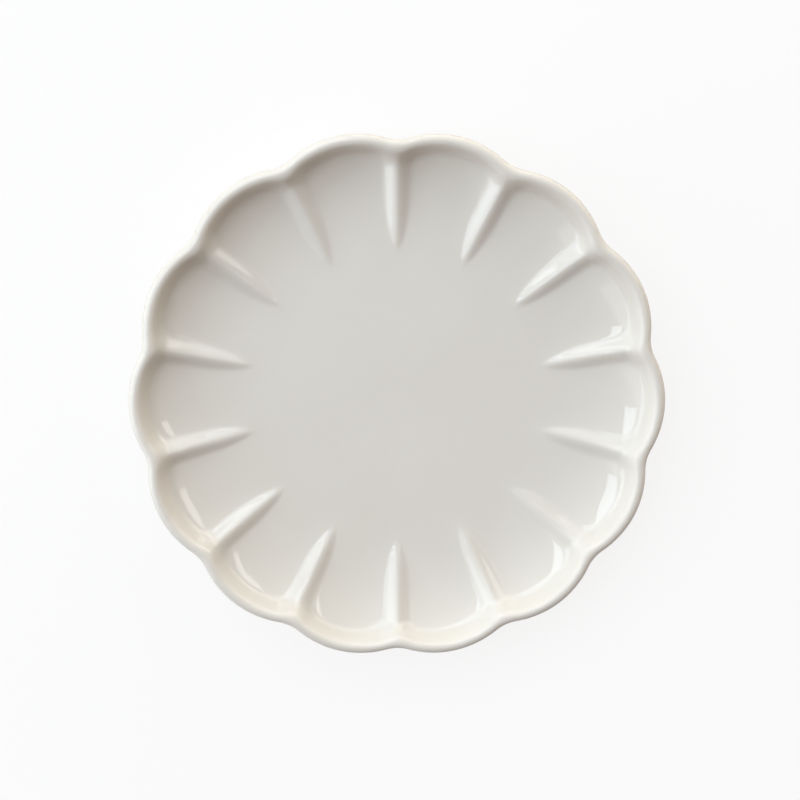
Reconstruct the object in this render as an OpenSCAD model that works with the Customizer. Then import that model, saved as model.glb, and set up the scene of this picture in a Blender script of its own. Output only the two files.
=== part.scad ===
// Scalloped dessert plate: a pressed clay body with a ring of petals, a foot ring luted under it,
// and the glaze coats that cover all but the foot.
// Millimetres. +Z is up, the origin is on the table under the centre of the well,
// +X points at a petal tip and +Y at the rib between two petals.

/* [Plate] */
// Diameter across two opposite petal tips
plate_d = 210; // [190:1:260]
// Height from the table to the crest of the rim
plate_h = 22.5; // [19:0.5:30]
// Thickness of the clay under the well
clay_t = 4.6; // [3.5:0.1:6]

/* [Petals] */
// Number of petals round the plate
petal_count = 14; // [10:2:18]
// How far the outline dips between two petals
scallop_depth = 3.7; // [2.5:0.1:5]
// Radius of the hollow in the outline between two petals
valley_r = 17; // [10:1:20]
// Height that a petal's floor climbs between the well and the rim
floor_rise = 7.8; // [6:0.2:9]
// Height that a petal's floor climbs from its middle to its ribs, next to the rim
petal_cup = 2.6; // [0:0.2:4]
// Height over which the floor rounds into the wall and the ribs
floor_round = 3.5; // [3:0.5:6]

/* [Well] */
// Diameter of the flat well
well_d = 114; // [100:1:120]

/* [Rim] */
// Width of the rounded rim
rim_w = 4.5; // [3.6:0.1:5.4]
// Steepness of the wall under the rim, in degrees from level
wall_angle = 74; // [64:1:76]

/* [Ribs] */
// Distance from the well's edge to the inner end of a rib
rib_gap = 4.5; // [2:0.5:7]
// Height of a rib over the floor at its outer end
rib_h = 4; // [3:0.1:6]
// Steepness of a rib's sides, in degrees from level
rib_angle = 68; // [60:1:74]
// Radius over the crest of a rib
rib_crest_r = 2; // [1:0.1:2.2]
// Width over which a rib's sides round into the wall
corner_round = 3.5; // [3:0.5:6.5]

/* [Foot] */
// Outer diameter of the foot ring
foot_od = 122; // [110:1:130]
// Width of the foot ring
foot_w = 5; // [4:0.5:8]
// Height of the foot ring
foot_h = 3; // [2:0.5:4]
// Bevel along the foot ring's standing edges
foot_bevel = 0.8; // [0.4:0.1:1.2]

/* [Glaze] */
// Thickness of the glaze coats
glaze_t = 0.3; // [0.2:0.05:0.5]
// Bare strip of clay left beside the foot ring
wax_margin = 0.6; // [0.4:0.1:1.5]

/* [Hidden] */

clay_colour = [0.86, 0.81, 0.73];
glaze_colour = [0.91, 0.90, 0.86];

// The clay's own size: the plate less its glaze
clay_r = plate_d / 2 - glaze_t;
clay_crest_z = plate_h - glaze_t;
base_z = foot_h;
well_z = base_z + clay_t;
well_r = well_d / 2;
base_r = foot_od / 2 + wax_margin;

// The outline is an arc for each petal and a hollow arc between two petals, tangent to each other
pitch = 360 / petal_count;
half_pitch = pitch / 2;
valley_floor_r = clay_r - scallop_depth;
valley_centre_r = valley_floor_r + valley_r;
petal_r = (clay_r^2 + valley_centre_r^2 - 2 * clay_r * valley_centre_r * cos(half_pitch) - valley_r^2)
    / (2 * (clay_r - valley_centre_r * cos(half_pitch) + valley_r));
petal_centre_r = clay_r - petal_r;
petal_share = petal_r / (petal_r + valley_r);
tangent_x = petal_centre_r + (valley_centre_r * cos(half_pitch) - petal_centre_r) * petal_share;
tangent_y = valley_centre_r * sin(half_pitch) * petal_share;
tangent_angle = atan2(tangent_y, tangent_x);

// The rim is a bead that runs on into the wall at the wall's own slope
bead_r = rim_w / 2;
bead_z = clay_crest_z - bead_r;
wall_slope = tan(wall_angle);
wall_start_x = bead_r * sin(wall_angle);
wall_start_z = bead_z + bead_r * cos(wall_angle);

// A rib runs from its nose to the wall in the valley
rib_start_r = well_r + rib_gap;
rib_end_r = valley_floor_r - rim_w;
rib_slope = tan(rib_angle);
rib_bend = rib_crest_r * rib_slope;

// How finely the curved faces are divided
rib_steps = 5;
face_rings = 14;
bead_rings = 3;
back_rings = 6;
crowding = 1.9;
slope_step = 0.01;

// A floor climbs slowly at first, and its petals are scooped close to the ribs
floor_curve = 2.8;
cup_curve = 3;

// A rib rises fast behind its nose, which melts into the floor
rib_curve = 0.6;
nose_dip = 0.45;
nose_round = 1.2;
skirt_share = 1.5;

// Angle from the middle of the nearest petal, and from the nearest rib
function off_petal(a) = let (turn = a / pitch) abs(turn - round(turn)) * pitch;
function off_rib(a) = half_pitch - off_petal(a);

// Radius of the clay's outline in the direction a
function outline_r(a) =
    let (p = off_petal(a), v = off_rib(a))
    p < tangent_angle
        ? petal_centre_r * cos(p) + sqrt(petal_r^2 - (petal_centre_r * sin(p))^2)
        : valley_centre_r * cos(v) - sqrt(valley_r^2 - (valley_centre_r * sin(v))^2);

// The higher or the lower of two values, rounded where they cross
function rounding(a, b, over) = max(0, over - abs(a - b))^2 / (4 * over);
function rounded_max(a, b, over) = max(a, b) + rounding(a, b, over);
function rounded_min(a, b, over) = min(a, b) - rounding(a, b, over);

// How far a floor that leaves the level at start_r has come to the rim, from 0 to 1, and its climb there
function way_out(r, start_r) = max(0, r - start_r) / (clay_r - rim_w - start_r);
function climb(r, start_r) = floor_rise * way_out(r, start_r)^floor_curve;

// Height of the inner wall at a distance x from the crest of the rim, and the distance at a height z
function wall_z(x) =
    x < wall_start_x
        ? bead_z + sqrt(max(0, bead_r^2 - x^2))
        : wall_start_z - wall_slope * (x - wall_start_x);
function wall_x(z) =
    z > wall_start_z
        ? sqrt(max(0, bead_r^2 - (z - bead_z)^2))
        : wall_start_x + (wall_start_z - z) / wall_slope;

// How far a rib's crest stands over the middle of a petal's floor
function rib_stands(r) =
    r < rib_start_r
        ? nose_dip * (r - rib_start_r)
        : rib_h * ((r - rib_start_r) / (rib_end_r - rib_start_r))^rib_curve;

// Height of the clay's face inside the crest of the rim
function face_z(r, a) =
    let (middle_z = well_z + climb(r, well_r),
         floor_z = middle_z + petal_cup * way_out(r, well_r) * (off_petal(a) / half_pitch)^cup_curve,
         stands = rib_stands(r),
         side = r * sin(off_rib(a)),
         rib_z = middle_z + stands - rib_slope * (sqrt(side^2 + rib_bend^2) - rib_bend),
         x = rounded_min(outline_r(a) - bead_r - r, wall_x(rib_z), corner_round))
    rounded_max(floor_z, wall_z(x), max(nose_round, min(floor_round, skirt_share * stands)));

// Height of the clay's back, from the widest line of the rim to the base
function back_z(r, a) =
    rounded_max(base_z + climb(r, base_r), bead_z - wall_slope * (outline_r(a) - r), floor_round);

// Directions at which the curved faces are divided, closer together beside the ribs
spread = [for (i = [0 : rib_steps]) half_pitch * (i / rib_steps)^crowding];
directions = [
    for (k = [0 : petal_count - 1])
        let (rib = (k + 0.5) * pitch)
        each [for (i = [1 - rib_steps : rib_steps]) rib + sign(i) * spread[abs(i)]]
];

// A point at radius r, and the unit normal of a height function there
function at(r, a, z) = [r * cos(a), r * sin(a), z];
function normal_of(height, r, a) =
    let (turn = slope_step / r * 180 / PI,
         out = (height(r + slope_step, a) - height(r - slope_step, a)) / (2 * slope_step),
         along = (height(r, a + turn) - height(r, a - turn)) / (2 * slope_step),
         n = [along * sin(a) - out * cos(a), -along * cos(a) - out * sin(a), 1])
    n / norm(n);

// The clay's face, ring by ring from the well to the widest line of the rim, raised by a coat
function face_r(a, j) =
    let (crest_r = outline_r(a) - bead_r)
    crest_r - (crest_r - well_r) * (1 - j / face_rings)^crowding;
function face_point(a, j, coat) =
    let (r = face_r(a, j),
         n = j == 0 || j == face_rings ? [0, 0, 1] : normal_of(function (r, a) face_z(r, a), r, a))
    at(r, a, face_z(r, a)) + coat * n;
function bead_point(a, turn, coat) =
    let (reach = bead_r + coat)
    at(outline_r(a) - bead_r + reach * cos(turn), a, bead_z + reach * sin(turn));
function face(coat) = [
    for (j = [0 : face_rings]) [for (a = directions) face_point(a, j, coat)],
    for (k = [1 : bead_rings]) [for (a = directions) bead_point(a, 90 - 90 * k / bead_rings, coat)]
];

// The clay's back, ring by ring from below the widest line of the rim to the base
function back_r(a, j) = outline_r(a) - (outline_r(a) - base_r) * (j / back_rings)^2;
function back_point(a, j, coat) =
    let (r = back_r(a, j),
         n = j == back_rings ? [0, 0, 1] : normal_of(function (r, a) back_z(r, a), r, a))
    at(r, a, back_z(r, a)) - coat * n;
function back(coat) = [for (j = [1 : back_rings]) [for (a = directions) back_point(a, j, coat)]];

function reversed(list) = [for (i = [len(list) - 1 : -1 : 0]) list[i]];

// A solid through a list of rings, either closed by a flat face at each end or joined end to end.
// Each four-sided patch is split along its shorter diagonal, so that two solids on the same points fit.
module ring_solid(rings, joined = false) {
    points = [for (ring = rings) each ring];
    count = len(rings[0]);
    last = len(rings) - 1;
    sides = [
        for (j = [0 : joined ? last : last - 1], i = [0 : count - 1])
            let (next = (i + 1) % count,
                 low = j * count,
                 high = (j + 1) % (last + 1) * count,
                 across = norm(points[low + i] - points[high + next]),
                 back_across = norm(points[high + i] - points[low + next]))
            each across < back_across
                ? [[low + i, high + i, high + next], [low + i, high + next, low + next]]
                : [[low + i, high + i, low + next], [high + i, high + next, low + next]]
    ];
    first_end = [for (i = [0 : count - 1]) i];
    last_end = reversed([for (i = [0 : count - 1]) last * count + i]);
    polyhedron(points = points, faces = joined ? sides : concat(sides, [first_end, last_end]));
}

module clay_body() {
    color(clay_colour)
        ring_solid(concat(face(0), back(0)));
}

module foot_ring() {
    outer_r = foot_od / 2;
    inner_r = outer_r - foot_w;
    color(clay_colour)
        rotate_extrude($fn = 96)
            polygon([
                [inner_r, foot_h],
                [inner_r, foot_bevel],
                [inner_r + foot_bevel, 0],
                [outer_r - foot_bevel, 0],
                [outer_r, foot_bevel],
                [outer_r, foot_h]
            ]);
}

module face_glaze() {
    color(glaze_colour)
        ring_solid(concat(face(glaze_t), reversed(face(0))));
}

module back_glaze() {
    rim_line = [face(0)[face_rings + bead_rings], face(glaze_t)[face_rings + bead_rings]];
    color(glaze_colour)
        ring_solid(
            concat([rim_line[1]], back(glaze_t), reversed(back(0)), [rim_line[0]]),
            joined = true
        );
}

module base_glaze() {
    color(glaze_colour)
        translate([0, 0, base_z - glaze_t])
            cylinder(r = foot_od / 2 - foot_w - wax_margin, h = glaze_t, $fn = 96);
}

clay_body();
foot_ring();
face_glaze();
back_glaze();
base_glaze();
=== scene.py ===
"""A scalloped dessert plate: a pressed clay body, its foot ring and the glaze that covers them."""

import math

import bpy
from mathutils import Matrix, Vector


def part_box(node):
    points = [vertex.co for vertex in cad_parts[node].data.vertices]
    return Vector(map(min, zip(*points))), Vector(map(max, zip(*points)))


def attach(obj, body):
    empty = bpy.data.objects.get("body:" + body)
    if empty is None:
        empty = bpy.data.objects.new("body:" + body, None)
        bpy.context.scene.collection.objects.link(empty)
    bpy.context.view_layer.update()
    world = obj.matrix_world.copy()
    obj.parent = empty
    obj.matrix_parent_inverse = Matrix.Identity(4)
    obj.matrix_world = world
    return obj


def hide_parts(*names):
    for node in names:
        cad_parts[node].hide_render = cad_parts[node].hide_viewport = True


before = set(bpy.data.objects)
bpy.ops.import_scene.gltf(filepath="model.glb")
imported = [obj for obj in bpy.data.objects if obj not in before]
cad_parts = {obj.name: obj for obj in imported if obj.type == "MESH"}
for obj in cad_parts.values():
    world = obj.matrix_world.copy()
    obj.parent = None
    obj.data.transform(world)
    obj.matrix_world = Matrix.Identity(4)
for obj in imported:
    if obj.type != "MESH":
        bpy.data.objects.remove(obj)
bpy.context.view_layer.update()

MM = 0.001

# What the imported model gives
body_low, body_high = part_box("clay_body")
_, face_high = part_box("face_glaze")
clay_r = body_high.x
crest_z = body_high.z
base_z = body_low.z
glaze_t = face_high.z - crest_z

# Petals and outline
PETALS = 14
SCALLOP_DEPTH = 3.7 * MM
VALLEY_R = 17 * MM
FLOOR_RISE = 7.8 * MM
FLOOR_CURVE = 2.8
PETAL_CUP = 2.6 * MM
CUP_CURVE = 3
FLOOR_ROUND = 3.5 * MM

# Well, rim and wall
WELL_R = 57 * MM
CLAY_T = 4.6 * MM
RIM_W = 4.5 * MM
WALL_ANGLE = math.radians(74)

# Ribs
RIB_GAP = 4.5 * MM
RIB_H = 4 * MM
RIB_CURVE = 0.6
RIB_ANGLE = math.radians(68)
RIB_CREST_R = 2 * MM
CORNER_ROUND = 3.5 * MM
NOSE_DIP = 0.45
NOSE_ROUND = 1.2 * MM
SKIRT_SHARE = 1.5

# Foot and glaze edges
FOOT_R = 61 * MM
FOOT_W = 5 * MM
FOOT_BEVEL = 0.8 * MM
LUTE_FILLET = 0.5 * MM
LUTE_ROUND = 0.3 * MM
WAX_MARGIN = 0.6 * MM
GLAZE_LIP = 0.2 * MM

# Faint unevenness of the wiped clay
WIPE_SIZE = 14 * MM
WIPE_DEPTH = 0.1 * MM

# How finely the pieces are divided
DIRECTIONS = 36 * PETALS
WELL_RINGS = 10
FACE_RINGS = 44
BEAD_RINGS = 8
BACK_RINGS = 22
BASE_RINGS = 6
RIB_CROWDING = 1.4
RING_CROWDING = 1.4
ROUND_STEPS = 192
LIP_STEPS = 3
FOOT_STEPS = 4
MERGE_DISTANCE = MM / 1000
SMOOTH_ANGLE = math.radians(40)

# Derived places
pitch = 2 * math.pi / PETALS
half_pitch = pitch / 2
valley_floor_r = clay_r - SCALLOP_DEPTH
valley_centre_r = valley_floor_r + VALLEY_R
reach = valley_centre_r * math.cos(half_pitch)
petal_r = (clay_r ** 2 + valley_centre_r ** 2 - 2 * clay_r * reach - VALLEY_R ** 2) / (
    2 * (clay_r - reach + VALLEY_R)
)
petal_centre_r = clay_r - petal_r
petal_share = petal_r / (petal_r + VALLEY_R)
tangent_angle = math.atan2(
    valley_centre_r * math.sin(half_pitch) * petal_share,
    petal_centre_r + (reach - petal_centre_r) * petal_share,
)
well_z = base_z + CLAY_T
base_r = FOOT_R + WAX_MARGIN
bead_r = RIM_W / 2
bead_z = crest_z - bead_r
wall_slope = math.tan(WALL_ANGLE)
wall_start_x = bead_r * math.sin(WALL_ANGLE)
wall_start_z = bead_z + bead_r * math.cos(WALL_ANGLE)
rib_start_r = WELL_R + RIB_GAP
rib_end_r = valley_floor_r - RIM_W
rib_slope = math.tan(RIB_ANGLE)
rib_bend = RIB_CREST_R * rib_slope


# The form of the clay

def off_petal(a):
    """Angle from the middle of the nearest petal."""
    return abs(a / pitch - round(a / pitch)) * pitch


def outline_r(a):
    """Radius of the clay's outline in the direction a: an arc for a petal, a hollow arc between two."""
    p = off_petal(a)
    if p < tangent_angle:
        aside = petal_centre_r * math.sin(p)
        return petal_centre_r * math.cos(p) + math.sqrt(petal_r ** 2 - aside ** 2)
    v = half_pitch - p
    aside = valley_centre_r * math.sin(v)
    return valley_centre_r * math.cos(v) - math.sqrt(VALLEY_R ** 2 - aside ** 2)


def rounding(a, b, over):
    """How far two crossing heights or distances are rounded into each other."""
    return max(0, over - abs(a - b)) ** 2 / (4 * over)


def way_out(r, start_r):
    """How far a floor that leaves the level at start_r has come to the rim, from 0 to 1."""
    return max(0, r - start_r) / (clay_r - RIM_W - start_r)


def climb(r, start_r):
    """Rise of that floor in the middle of a petal."""
    return FLOOR_RISE * way_out(r, start_r) ** FLOOR_CURVE


def wall_z(x):
    """Height of the rim and the inner wall at a distance x inside the rim's crest."""
    if x < wall_start_x:
        return bead_z + math.sqrt(max(0, bead_r ** 2 - x ** 2))
    return wall_start_z - wall_slope * (x - wall_start_x)


def wall_x(z):
    """Distance inside the rim's crest at which the rim or the inner wall has the height z."""
    if z > wall_start_z:
        return math.sqrt(max(0, bead_r ** 2 - (z - bead_z) ** 2))
    return wall_start_x + (wall_start_z - z) / wall_slope


def rib_stands(r):
    """How far a rib's crest stands over the middle of a petal's floor: its nose dips into the floor."""
    if r < rib_start_r:
        return NOSE_DIP * (r - rib_start_r)
    return RIB_H * ((r - rib_start_r) / (rib_end_r - rib_start_r)) ** RIB_CURVE


def face_z(r, a):
    """Height of the clay's face inside the crest of the rim."""
    middle_z = well_z + climb(r, WELL_R)
    floor_z = middle_z + PETAL_CUP * way_out(r, WELL_R) * (off_petal(a) / half_pitch) ** CUP_CURVE
    stands = rib_stands(r)
    side = r * math.sin(half_pitch - off_petal(a))
    rib_z = middle_z + stands - rib_slope * (math.hypot(side, rib_bend) - rib_bend)
    rim_x = outline_r(a) - bead_r - r
    rib_x = wall_x(rib_z)
    x = min(rim_x, rib_x) - rounding(rim_x, rib_x, CORNER_ROUND)
    over = max(NOSE_ROUND, min(FLOOR_ROUND, SKIRT_SHARE * stands))
    return max(floor_z, wall_z(x)) + rounding(floor_z, wall_z(x), over)


def back_z(r, a):
    """Height of the clay's back, from the widest line of the rim to the base."""
    floor_z = base_z + climb(r, base_r)
    outer_z = bead_z - wall_slope * (outline_r(a) - r)
    return max(floor_z, outer_z) + rounding(floor_z, outer_z, FLOOR_ROUND)


# Bands of the sheet: each gives a radius and a height at a share of its way, in the direction a

def well_point(share, a):
    """On the flat well, from its middle to its edge."""
    return WELL_R * share, well_z


def face_point(share, a):
    """On the petals, ribs and inner wall, from the well's edge to the crest of the rim."""
    rim_r = outline_r(a) - bead_r
    r = rim_r - (rim_r - WELL_R) * (1 - share) ** RING_CROWDING
    return r, face_z(r, a)


def bead_point(share, a):
    """On the rim's round, from its crest to its widest line."""
    turn = share * math.pi / 2
    return outline_r(a) - bead_r + bead_r * math.sin(turn), bead_z + bead_r * math.cos(turn)


def back_point(share, a):
    """On the back, from the widest line of the rim to the edge of the base."""
    r = outline_r(a) - (outline_r(a) - base_r) * share ** RING_CROWDING
    return r, back_z(r, a)


def base_point(share, a):
    """On the flat base, from its edge to its middle."""
    return base_r * (1 - share), base_z


COATED = (
    (well_point, WELL_RINGS),
    (face_point, FACE_RINGS),
    (bead_point, BEAD_RINGS),
    (back_point, BACK_RINGS),
)
WHOLE = COATED + ((base_point, BASE_RINGS),)


# Modelling helpers

def start_piece(name):
    """Names the primitive that was just added and gives it its own mesh name."""
    piece = bpy.context.object
    piece.name = name
    piece.data.name = name
    return piece


def apply_modifier(piece, kind, **settings):
    """Adds a modifier with these settings and applies it."""
    modifier = piece.modifiers.new(kind.lower(), kind)
    for key, value in settings.items():
        setattr(modifier, key, value)
    bpy.context.view_layer.objects.active = piece
    bpy.ops.object.modifier_apply(modifier=modifier.name)


def clear_selection(kind):
    """Deselects all points and edges, so that those of this kind can be marked outside edit mode."""
    bpy.ops.object.mode_set(mode="EDIT")
    bpy.ops.mesh.select_mode(type=kind)
    bpy.ops.mesh.select_all(action="DESELECT")
    bpy.ops.object.mode_set(mode="OBJECT")


def select_edges(piece, wanted):
    """In edit mode, selects the edges whose two ends both satisfy wanted."""
    clear_selection("EDGE")
    points = piece.data.vertices
    for edge in piece.data.edges:
        edge.select = all(wanted(points[i].co) for i in edge.vertices)
    bpy.ops.object.mode_set(mode="EDIT")


def select_points(piece, wanted):
    """In edit mode, selects the points that satisfy wanted."""
    clear_selection("VERT")
    for point in piece.data.vertices:
        point.select = wanted(point.co)
    bpy.ops.object.mode_set(mode="EDIT")


def close_seams():
    """In edit mode, merges the points that lie on each other and turns the faces outwards."""
    bpy.ops.mesh.select_all(action="SELECT")
    bpy.ops.mesh.remove_doubles(threshold=MERGE_DISTANCE)
    bpy.ops.mesh.normals_make_consistent(inside=False)


def finish_mesh(piece):
    """Shades the piece smooth, apart from its sharp edges, and leaves it deselected."""
    bpy.ops.object.mode_set(mode="OBJECT")
    bpy.ops.object.select_all(action="DESELECT")
    piece.select_set(True)
    bpy.context.view_layer.objects.active = piece
    bpy.ops.object.shade_smooth_by_angle(angle=SMOOTH_ANGLE)
    piece.select_set(False)


def direction(column):
    """Angle of a column of the sheet: the columns lie closer together beside the ribs."""
    to_rib = DIRECTIONS // (2 * PETALS)
    rib, off = divmod(column + to_rib, 2 * to_rib)
    off -= to_rib
    spread = half_pitch * abs(off / to_rib) ** RIB_CROWDING
    return (rib + 0.5) * pitch + math.copysign(spread, off)


def pressed_sheet(name, bands):
    """A flat sheet pressed into the plate's form, band by band from the middle of the well."""
    rings = sum(count for _, count in bands)
    bpy.ops.object.select_all(action="DESELECT")
    bpy.ops.mesh.primitive_grid_add(x_subdivisions=DIRECTIONS, y_subdivisions=rings, size=2 * clay_r)
    sheet = start_piece(name)
    first_form = bands[0][0]
    places = [(first_form, 0)]
    places += [(form, (i + 1) / count) for form, count in bands for i in range(count)]
    for point in sheet.data.vertices:
        column = round((point.co.x / clay_r + 1) / 2 * DIRECTIONS) % DIRECTIONS
        row = round((point.co.y / clay_r + 1) / 2 * rings)
        form, share = places[row]
        a = direction(column)
        r, z = form(share, a)
        point.co = (r * math.cos(a), r * math.sin(a), z)
    bpy.ops.object.mode_set(mode="EDIT")
    close_seams()
    bpy.ops.object.mode_set(mode="OBJECT")
    return sheet


def hand_finish(piece):
    """Gives the pressed clay the faint unevenness of a wiped surface."""
    ripple = bpy.data.textures.new("wiped_clay", "CLOUDS")
    ripple.noise_scale = WIPE_SIZE
    ripple.noise_depth = 1
    apply_modifier(
        piece, "DISPLACE", texture=ripple, texture_coords="LOCAL", strength=WIPE_DEPTH, mid_level=0.5
    )


# Pieces

def make_pressed_body():
    """The clay of the plate, from the well over the rim to the base."""
    body = pressed_sheet("pressed_body", WHOLE)
    hand_finish(body)
    finish_mesh(body)
    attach(body, "root")
    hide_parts("clay_body")
    return body


def make_glaze_coat():
    """The coat over the face, the rim and the back, with a rounded lip where it ends beside the foot."""
    coat = pressed_sheet("glaze_coat", COATED)
    hand_finish(coat)
    apply_modifier(coat, "SOLIDIFY", thickness=glaze_t, offset=1)
    lip_r = base_r + GLAZE_LIP
    select_edges(coat, lambda p: math.hypot(p.x, p.y) < lip_r and p.z < base_z - glaze_t / 2)
    bpy.ops.mesh.bevel(offset=GLAZE_LIP, segments=LIP_STEPS, affect="EDGES")
    finish_mesh(coat)
    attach(coat, "root")
    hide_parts("face_glaze", "back_glaze")
    return coat


def make_base_coat():
    """The disc of glaze inside the foot ring, with a rounded lip."""
    middle_z = base_z - glaze_t / 2
    bpy.ops.object.select_all(action="DESELECT")
    bpy.ops.mesh.primitive_cylinder_add(
        vertices=ROUND_STEPS,
        radius=FOOT_R - FOOT_W - WAX_MARGIN,
        depth=glaze_t,
        location=(0, 0, middle_z),
    )
    coat = start_piece("base_coat")
    bpy.ops.object.transform_apply(location=True, rotation=True, scale=True)
    select_edges(coat, lambda p: p.z < middle_z)
    bpy.ops.mesh.bevel(offset=GLAZE_LIP, segments=LIP_STEPS, affect="EDGES")
    finish_mesh(coat)
    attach(coat, "root")
    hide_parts("base_glaze")
    return coat


def make_standing_ring():
    """A ring turned from one section: rounded where it stands and flared where it is luted to the body."""
    middle_r = FOOT_R - FOOT_W / 2
    flare_z = base_z - LUTE_FILLET
    bpy.ops.object.select_all(action="DESELECT")
    bpy.ops.mesh.primitive_plane_add(
        size=1, location=(middle_r, 0, base_z / 2), rotation=(math.pi / 2, 0, 0)
    )
    ring = start_piece("standing_ring")
    ring.scale = (FOOT_W, base_z, 1)
    bpy.ops.object.transform_apply(location=True, rotation=True, scale=True)
    bpy.ops.object.mode_set(mode="EDIT")
    bpy.ops.mesh.select_all(action="SELECT")
    bpy.ops.mesh.delete(type="ONLY_FACE")
    bpy.ops.mesh.select_all(action="SELECT")
    bpy.ops.mesh.bisect(plane_co=(0, 0, flare_z), plane_no=(0, 0, 1))
    select_points(ring, lambda p: p.z > (flare_z + base_z) / 2)
    widen = 1 + 2 * LUTE_FILLET / FOOT_W
    bpy.ops.transform.resize(value=(widen, 1, 1), center_override=(middle_r, 0, base_z))
    select_points(ring, lambda p: p.z < FOOT_BEVEL)
    bpy.ops.mesh.bevel(offset=FOOT_BEVEL, segments=FOOT_STEPS, affect="VERTICES")
    select_points(ring, lambda p: abs(p.z - flare_z) < LUTE_FILLET / 2)
    bpy.ops.mesh.bevel(offset=LUTE_ROUND, segments=FOOT_STEPS, affect="VERTICES")
    bpy.ops.mesh.select_all(action="SELECT")
    bpy.ops.mesh.spin(steps=ROUND_STEPS, angle=2 * math.pi, center=(0, 0, 0), axis=(0, 0, 1))
    close_seams()
    finish_mesh(ring)
    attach(ring, "root")
    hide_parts("foot_ring")
    return ring


# Node helpers

# A mix node has its colour sockets behind those for values and vectors
MIX_LOW = 6
MIX_HIGH = 7
MIX_RESULT = 2


def new_material(name, colour):
    """A material with its node tree and its shader, which has this colour in the viewport too."""
    material = bpy.data.materials.new(name)
    material.use_nodes = True
    material.diffuse_color = (*colour, 1)
    shader = material.node_tree.nodes["Principled BSDF"]
    shader.inputs["Base Color"].default_value = (*colour, 1)
    return material, material.node_tree, shader


def add_node(tree, kind, inputs=(), **settings):
    """Adds a node, sets its properties, and fills its inputs with values or joins them to other sockets."""
    node = tree.nodes.new(kind)
    for key, value in settings.items():
        setattr(node, key, value)
    for key, value in dict(inputs).items():
        if isinstance(value, bpy.types.NodeSocket):
            tree.links.new(value, node.inputs[key])
        else:
            node.inputs[key].default_value = value
    return node


def blend(tree, share, low, high):
    """A colour between two, by a share from 0 to 1."""
    mix = add_node(tree, "ShaderNodeMix", {"Factor": share}, data_type="RGBA")
    for socket, colour in ((mix.inputs[MIX_LOW], low), (mix.inputs[MIX_HIGH], high)):
        if isinstance(colour, bpy.types.NodeSocket):
            tree.links.new(colour, socket)
        else:
            socket.default_value = (*colour, 1)
    return mix.outputs[MIX_RESULT]


def remap(tree, value, low, high, to_low, to_high):
    """A value moved from one range to another, and held inside it."""
    inputs = {"Value": value, "From Min": low, "From Max": high, "To Min": to_low, "To Max": to_high}
    return add_node(tree, "ShaderNodeMapRange", inputs).outputs["Result"]


def combine(tree, operation, a, b):
    """Two values put together by one operation."""
    return add_node(tree, "ShaderNodeMath", {0: a, 1: b}, operation=operation).outputs[0]


def bump(tree, shader, steps):
    """Raises the surface by several heights, each a value and a distance in metres."""
    normal = None
    for height, distance in steps:
        inputs = {"Height": height, "Strength": 1, "Distance": distance}
        if normal:
            inputs["Normal"] = normal
        normal = add_node(tree, "ShaderNodeBump", inputs).outputs["Normal"]
    tree.links.new(normal, shader.inputs["Normal"])


# Materials

# The patterns of a fired surface, with the detail of each one's noise and the part of its range that is used
PATTERNS = (("Patches", 2), ("Ripple", 1), ("Grain", 3))
NOISE_LOW = 0.25
NOISE_HIGH = 0.75

# Glaze
GLAZE_COLOUR = (0.78, 0.74, 0.68)
GLAZE_THIN = (0.765, 0.733, 0.672)
GLAZE_THICK = (0.790, 0.760, 0.707)
GLAZE_IOR = 1.5
GLAZE_SMOOTHEST = 0.02
GLAZE_ROUGHEST = 0.035
GLAZE_SIZES = {"Patches": 40 * MM, "Ripple": 9 * MM, "Grain": 1.6 * MM}
GLAZE_RIPPLE_H = 0.012 * MM
GLAZE_GRAIN_H = 0.0008 * MM

# Bare clay, with its specks and the standing face that is rubbed smooth and a little soiled
CLAY_COLOUR = (0.66, 0.58, 0.47)
CLAY_DARK = (0.61, 0.53, 0.42)
CLAY_PALE = (0.70, 0.62, 0.51)
CLAY_SPECKS = (0.45, 0.36, 0.27)
CLAY_SOILED = (0.50, 0.44, 0.36)
CLAY_SIZES = {"Patches": 18 * MM, "Ripple": 4 * MM, "Grain": 0.7 * MM}
CLAY_RIPPLE_H = 0.05 * MM
CLAY_GRAIN_H = 0.03 * MM
SPECKS_FROM = 0.55
SPECKS_MOST = 0.5
RUBBED_TO = 0.05 * MM
UNRUBBED_FROM = 0.5 * MM
RUBBED_ROUGHNESS = 0.62
CLAY_ROUGHNESS = 0.86


def fired_surface_group():
    """Soft patches, ripple and grain of a fired surface, each a value from 0 to 1 over the piece."""
    group = bpy.data.node_groups.new("fired_surface", "ShaderNodeTree")
    coords = add_node(group, "ShaderNodeTexCoord").outputs["Object"]
    source = group.nodes.new("NodeGroupInput")
    result = group.nodes.new("NodeGroupOutput")
    for name, detail in PATTERNS:
        group.interface.new_socket(name + " Scale", in_out="INPUT", socket_type="NodeSocketFloat")
        group.interface.new_socket(name, in_out="OUTPUT", socket_type="NodeSocketFloat")
        inputs = {"Vector": coords, "Scale": source.outputs[name + " Scale"], "Detail": detail}
        noise = add_node(group, "ShaderNodeTexNoise", inputs).outputs["Fac"]
        group.links.new(remap(group, noise, NOISE_LOW, NOISE_HIGH, 0, 1), result.inputs[name])
    return group


def fired_surface(tree, group, sizes):
    """Places the group, with the size of each of its patterns in metres."""
    node = add_node(tree, "ShaderNodeGroup", node_tree=group)
    for name, size in sizes.items():
        node.inputs[name + " Scale"].default_value = 1 / size
    return node.outputs


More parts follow.
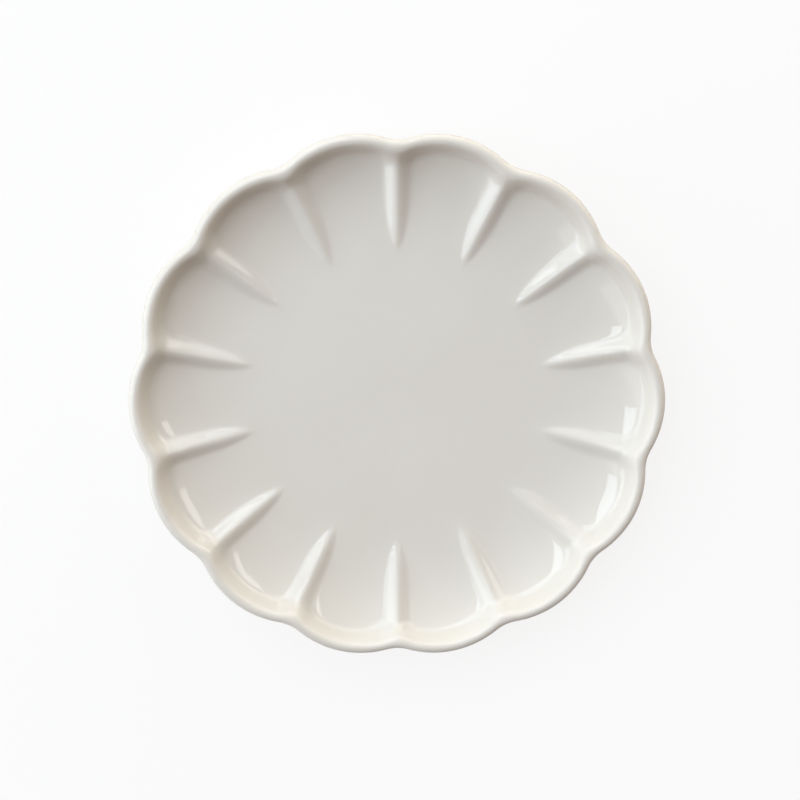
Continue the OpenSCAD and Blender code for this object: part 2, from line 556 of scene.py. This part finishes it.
def glaze_material(group):
    """A glossy ivory glaze, a little paler and less smooth in soft patches."""
    material, tree, shader = new_material("ivory_glaze", GLAZE_COLOUR)
    surface = fired_surface(tree, group, GLAZE_SIZES)
    colour = blend(tree, surface["Patches"], GLAZE_THIN, GLAZE_THICK)
    tree.links.new(colour, shader.inputs["Base Color"])
    roughness = remap(tree, surface["Patches"], 0, 1, GLAZE_SMOOTHEST, GLAZE_ROUGHEST)
    tree.links.new(roughness, shader.inputs["Roughness"])
    shader.inputs["IOR"].default_value = GLAZE_IOR
    bump(tree, shader, ((surface["Ripple"], GLAZE_RIPPLE_H), (surface["Grain"], GLAZE_GRAIN_H)))
    return material


def clay_material(group):
    """Bare fired clay with dark specks, rubbed and soiled where it stands on the table."""
    material, tree, shader = new_material("bare_clay", CLAY_COLOUR)
    surface = fired_surface(tree, group, CLAY_SIZES)
    clay = blend(tree, surface["Patches"], CLAY_DARK, CLAY_PALE)
    clay = blend(tree, remap(tree, surface["Grain"], SPECKS_FROM, 1, 0, SPECKS_MOST), clay, CLAY_SPECKS)
    coords = add_node(tree, "ShaderNodeTexCoord").outputs["Object"]
    height = add_node(tree, "ShaderNodeSeparateXYZ", {"Vector": coords}).outputs["Z"]
    worn = remap(tree, height, RUBBED_TO, UNRUBBED_FROM, 1, 0)
    soiled = combine(tree, "MULTIPLY", worn, surface["Ripple"])
    clay = blend(tree, soiled, clay, CLAY_SOILED)
    tree.links.new(clay, shader.inputs["Base Color"])
    roughness = remap(tree, worn, 0, 1, CLAY_ROUGHNESS, RUBBED_ROUGHNESS)
    tree.links.new(roughness, shader.inputs["Roughness"])
    bump(tree, shader, ((surface["Ripple"], CLAY_RIPPLE_H), (surface["Grain"], CLAY_GRAIN_H)))
    return material


# Floor and world

WHITE = (1, 1, 1)
FLOOR_SIZE = 40
FLOOR_GAP = 0.1 * MM
FLOOR_COLOUR = (0.62, 0.56, 0.48)
FLOOR_SEEN = (0.92, 0.92, 0.92)
FLOOR_ROUGHNESS = 0.9
FLOOR_SHEEN = 0.1
# The share of plain white in the floor beside the plate, and where the floor starts and ends to fade into it
WHITE_NEAR = 0.85
FADE_FROM = 0.2
FADE_TO = 0.7
FILL_COLOUR = (1.0, 0.50, 0.22)
FILL_STRENGTH = 0.12


def seen_directly(tree):
    """1 for rays from the camera and for mirrored or bent ones, 0 for the rays that light the plate."""
    path = add_node(tree, "ShaderNodeLightPath").outputs
    share = path["Is Camera Ray"]
    for other in ("Is Glossy Ray", "Is Transmission Ray"):
        share = combine(tree, "MAXIMUM", share, path[other])
    return share


def make_floor():
    """A pale floor that looks nearly white and keeps a soft shadow, just clear of the standing face."""
    bpy.ops.object.select_all(action="DESELECT")
    bpy.ops.mesh.primitive_plane_add(size=FLOOR_SIZE, location=(0, 0, -FLOOR_GAP))
    floor = start_piece("floor")
    material, tree, shader = new_material("pale_floor", FLOOR_COLOUR)
    shader.inputs["Roughness"].default_value = FLOOR_ROUGHNESS
    shader.inputs["Specular IOR Level"].default_value = FLOOR_SHEEN
    white = add_node(tree, "ShaderNodeEmission", {"Color": (*WHITE, 1), "Strength": 1})
    seen = seen_directly(tree)
    tree.links.new(blend(tree, seen, FLOOR_COLOUR, FLOOR_SEEN), shader.inputs["Base Color"])
    coords = add_node(tree, "ShaderNodeTexCoord").outputs["Object"]
    distance = add_node(tree, "ShaderNodeVectorMath", {0: coords}, operation="LENGTH").outputs["Value"]
    white_share = remap(tree, distance, FADE_FROM, FADE_TO, WHITE_NEAR, 1)
    share = combine(tree, "MULTIPLY", seen, white_share)
    mix = add_node(tree, "ShaderNodeMixShader", {0: share, 1: shader.outputs[0], 2: white.outputs[0]})
    tree.links.new(mix.outputs[0], tree.nodes["Material Output"].inputs["Surface"])
    floor.data.materials.append(material)


def make_world():
    """White where it is seen or mirrored, and a dim warm fill for the rest."""
    world = bpy.data.worlds.new("studio")
    bpy.context.scene.world = world
    world.use_nodes = True
    tree = world.node_tree
    background = tree.nodes["Background"]
    seen = seen_directly(tree)
    tree.links.new(blend(tree, seen, FILL_COLOUR, WHITE), background.inputs["Color"])
    tree.links.new(remap(tree, seen, 0, 1, FILL_STRENGTH, 1), background.inputs["Strength"])


# Lights

WINDOW_DISTANCE = 1.5
COOL = (0.80, 0.91, 1.0)
PLAIN = (1.0, 0.99, 0.92)
WARM = (1.0, 0.90, 0.72)

# Azimuths from +X of the two columns of panes, and heights of a glow over the table, in degrees
NORTH_PANES = (98, 148)
WEST_PANES = (152, 202)
GLOW = (0.5, 10)
# Each row of panes, with its heights in degrees and the radiance of its north and west pane
PANE_ROWS = (
    ("low", (32, 43), 3.8, 2.5),
    ("middle", (48, 56), 4.6, 3.9),
    ("high", (62, 69), 3.6, 4.6),
)


def add_window(name, azimuths, heights, colour, radiance):
    """A soft rectangular light over a range of azimuths from +X and of heights, in degrees."""
    azimuth, height = (math.radians(sum(pair) / 2) for pair in (azimuths, heights))
    wide, high = (math.tan(math.radians(pair[1] - pair[0]) / 2) for pair in (azimuths, heights))
    lamp = bpy.data.lights.new(name, "AREA")
    lamp.shape = "RECTANGLE"
    lamp.size = 2 * WINDOW_DISTANCE * wide * math.cos(height)
    lamp.size_y = 2 * WINDOW_DISTANCE * high
    lamp.color = colour
    lamp.energy = math.pi * lamp.size * lamp.size_y * radiance
    window = bpy.data.objects.new(name, lamp)
    bpy.context.scene.collection.objects.link(window)
    level = WINDOW_DISTANCE * math.cos(height)
    window.location = (
        level * math.cos(azimuth), level * math.sin(azimuth), WINDOW_DISTANCE * math.sin(height)
    )
    window.rotation_euler = (-window.location).to_track_quat("-Z", "Y").to_euler()


def make_lights():
    """Two windows, and the cards, fills and glows around them."""
    # A tall window of six panes, whose bars show in the glaze
    for row, heights, north, west in PANE_ROWS:
        add_window("north_pane_" + row, NORTH_PANES, heights, COOL, north)
        add_window("west_pane_" + row, WEST_PANES, heights, COOL, west)
    add_window("north_card", (95, 160), (10, 32), COOL, 0.95)
    add_window("west_card", (160, 215), (10, 32), COOL, 2.75)
    add_window("west_glow", (150, 205), GLOW, WARM, 2.6)
    add_window("south_west_fill", (202, 230), (33, 62), PLAIN, 0.9)
    # A second, smaller window and what it lights up
    add_window("east_window", (20, 55), (10, 34), PLAIN, 2.2)
    add_window("north_east_window", (55, 92), (10, 34), PLAIN, 1.45)
    add_window("north_east_glow", (35, 95), GLOW, WARM, 4.6)
    add_window("north_east_fill", (55, 98), (34, 60), COOL, 1.5)
    add_window("east_strip", (-8, 48), (65, 69), PLAIN, 3.4)


# Camera

SENSOR_W = 36
IMAGE_PX = 800
FOCAL_PX = 1174
RIM_CENTRE_PX = (397.36, 404.07)
EYE_FROM_RIM = Vector((-3.6, 89.6, 450.6)) * MM


def view_axes(back):
    """Right and up in a picture that is seen from the side that back points to, with +Y up."""
    right = Vector((0, 1, 0)).cross(back).normalized()
    return right, back.cross(right)


def make_camera():
    """A camera above the plate that leans over its +Y side, with +Y up in the picture."""
    rim_centre = Vector((0, 0, bead_z))
    eye = rim_centre + EYE_FROM_RIM
    lens = bpy.data.cameras.new("camera")
    lens.sensor_width = SENSOR_W
    lens.lens = FOCAL_PX / IMAGE_PX * SENSOR_W
    camera = bpy.data.objects.new("camera", lens)
    bpy.context.scene.collection.objects.link(camera)
    bpy.context.scene.camera = camera
    # Aim so that the middle of the rim falls on its own pixel
    right, up = view_axes(EYE_FROM_RIM.normalized())
    scale = EYE_FROM_RIM.length / FOCAL_PX
    aim = rim_centre + right * (IMAGE_PX / 2 - RIM_CENTRE_PX[0]) * scale
    aim = aim + up * (RIM_CENTRE_PX[1] - IMAGE_PX / 2) * scale
    back = (eye - aim).normalized()
    right, up = view_axes(back)
    turn = Matrix((right, up, back)).transposed().to_4x4()
    camera.matrix_world = Matrix.Translation(eye) @ turn


# The plate on its stage

body = make_pressed_body()
ring = make_standing_ring()
coat = make_glaze_coat()
base = make_base_coat()
fired = fired_surface_group()
glaze = glaze_material(fired)
clay = clay_material(fired)
for piece in (coat, base):
    piece.data.materials.append(glaze)
for piece in (body, ring):
    piece.data.materials.append(clay)

make_floor()
make_world()
make_lights()
make_camera()
bpy.context.scene.view_settings.view_transform = "Standard"
